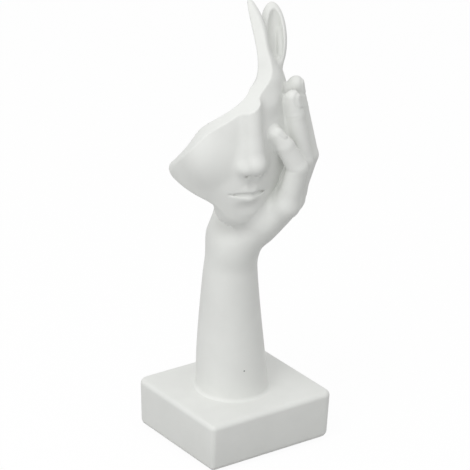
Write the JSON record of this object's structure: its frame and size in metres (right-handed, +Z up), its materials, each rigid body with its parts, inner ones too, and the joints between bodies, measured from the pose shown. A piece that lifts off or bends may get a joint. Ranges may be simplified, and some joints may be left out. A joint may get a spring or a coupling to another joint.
{
  "type": "figurine",
  "caption": "White cast-resin figurine: an upright forearm and open hand on a square plinth hold a half face mask with a horn and a leaf.",
  "frame": {"origin": "centre of the felt's underside, on the surface that the figurine stands on", "axes": "+Z up, -Y out of the plinth's wider front side, which the mask faces, +X to the front's right, where the fingers are"},
  "size_m": [0.097, 0.088, 0.2933],
  "materials": {
    "resin": "satin matte",
    "felt": "felt",
    "steel": "plain"
  },
  "bodies": {
    "root": {"plinth": "resin", "base_felt": "felt", "arm_rod": "steel", "rod_washer": "steel", "rod_nut": "steel", "arm_and_hand": "resin", "face_mask": "resin", "chin_pin_front": "steel", "chin_pin_rear": "steel"}
  },
  "joints": []
}
